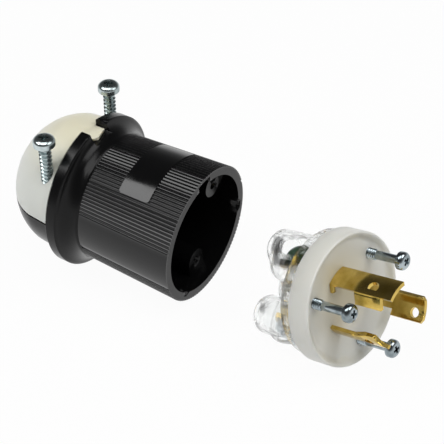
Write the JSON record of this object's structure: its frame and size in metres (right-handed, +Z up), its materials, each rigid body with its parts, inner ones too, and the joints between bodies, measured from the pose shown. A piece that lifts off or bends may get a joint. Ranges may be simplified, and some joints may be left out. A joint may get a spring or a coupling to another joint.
{
  "type": "locking power plug",
  "caption": "Locking power plug shown taken apart: ribbed black housing with cord clamp, and a milky disc with curved brass blades and a clear wire chamber.",
  "frame": {"origin": "on the floor, under the centre of the bounding box of both halves", "axes": "+X along the plug axis from the cord end to the blades, +Z up from the floor"},
  "size_m": [0.1192, 0.043, 0.0467],
  "materials": {
    "black_nylon": "semi-gloss moulded nylon",
    "natural_nylon": "satin natural nylon",
    "milky_nylon": "satin milky nylon",
    "clear_polycarbonate": "clear, polished",
    "brass": "bright rolled sheet",
    "zinc_steel": "bright zinc plate",
    "green_screw": "green lacquer"
  },
  "bodies": {
    "root": {"housing": "black_nylon", "cord_clamp": "natural_nylon", "clamp_screw_near": "zinc_steel", "clamp_screw_far": "zinc_steel", "face_disc": "milky_nylon", "wire_chamber": "clear_polycarbonate", "ground_blade": "brass", "line_blade_near": "brass", "line_blade_far": "brass", "assembly_screw_1": "zinc_steel", "assembly_screw_2": "zinc_steel", "assembly_screw_3": "zinc_steel", "terminal_screw_ground": "green_screw", "terminal_screw_near": "zinc_steel", "terminal_screw_far": "brass", "wire_clamp_ground": "brass", "wire_clamp_near": "brass", "wire_clamp_far": "brass"}
  },
  "joints": []
}
